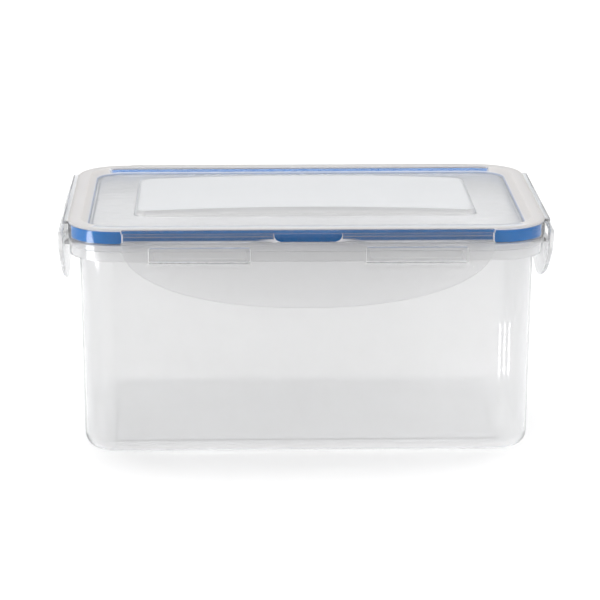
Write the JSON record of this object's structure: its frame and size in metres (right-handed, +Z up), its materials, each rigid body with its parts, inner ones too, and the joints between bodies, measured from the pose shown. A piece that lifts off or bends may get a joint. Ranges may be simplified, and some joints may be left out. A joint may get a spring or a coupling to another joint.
{
  "type": "food container",
  "caption": "Rectangular clear plastic food container with a lid, a sealing gasket and snap-down latch flaps on all four sides.",
  "frame": {"origin": "on the ground under the centre of the tub's base", "axes": "+X along the long side, +Y to the rear, +Z up out of the tub"},
  "size_m": [0.2048, 0.1338, 0.0992],
  "materials": {
    "tub_plastic": "clear natural polypropylene, polished",
    "lid_plastic": "clear natural polypropylene, slightly milky",
    "latch_plastic": "clear natural polypropylene, polished",
    "gasket_silicone": "blue silicone, satin"
  },
  "bodies": {
    "tub": {"tub": "tub_plastic"},
    "lid": {"lid": "lid_plastic", "gasket": "gasket_silicone", "front_hinge_straps": "latch_plastic", "rear_hinge_straps": "latch_plastic", "left_hinge_straps": "latch_plastic", "right_hinge_straps": "latch_plastic"},
    "front_latch": {"front_latch": "latch_plastic"},
    "rear_latch": {"rear_latch": "latch_plastic"},
    "left_latch": {"left_latch": "latch_plastic"},
    "right_latch": {"right_latch": "latch_plastic"}
  },
  "joints": [
    {"name": "lid_lift", "type": "slide", "parent": "tub", "child": "lid", "axis": [0, 0, 1], "range_m": [0, 0.12]},
    {"name": "front_latch_hinge", "type": "hinge", "parent": "lid", "child": "front_latch", "pos_m": [0, -0.0651, 0.09395], "axis": [-1, 0, 0], "range_deg": [0, 150], "deforming": ["front_hinge_straps"]},
    {"name": "rear_latch_hinge", "type": "hinge", "parent": "lid", "child": "rear_latch", "pos_m": [0, 0.0651, 0.09395], "axis": [1, 0, 0], "range_deg": [0, 150], "deforming": ["rear_hinge_straps"]},
    {"name": "left_latch_hinge", "type": "hinge", "parent": "lid", "child": "left_latch", "pos_m": [-0.1006, 0, 0.09395], "axis": [0, 1, 0], "range_deg": [0, 150], "deforming": ["left_hinge_straps"]},
    {"name": "right_latch_hinge", "type": "hinge", "parent": "lid", "child": "right_latch", "pos_m": [0.1006, 0, 0.09395], "axis": [0, -1, 0], "range_deg": [0, 150], "deforming": ["right_hinge_straps"]}
  ]
}
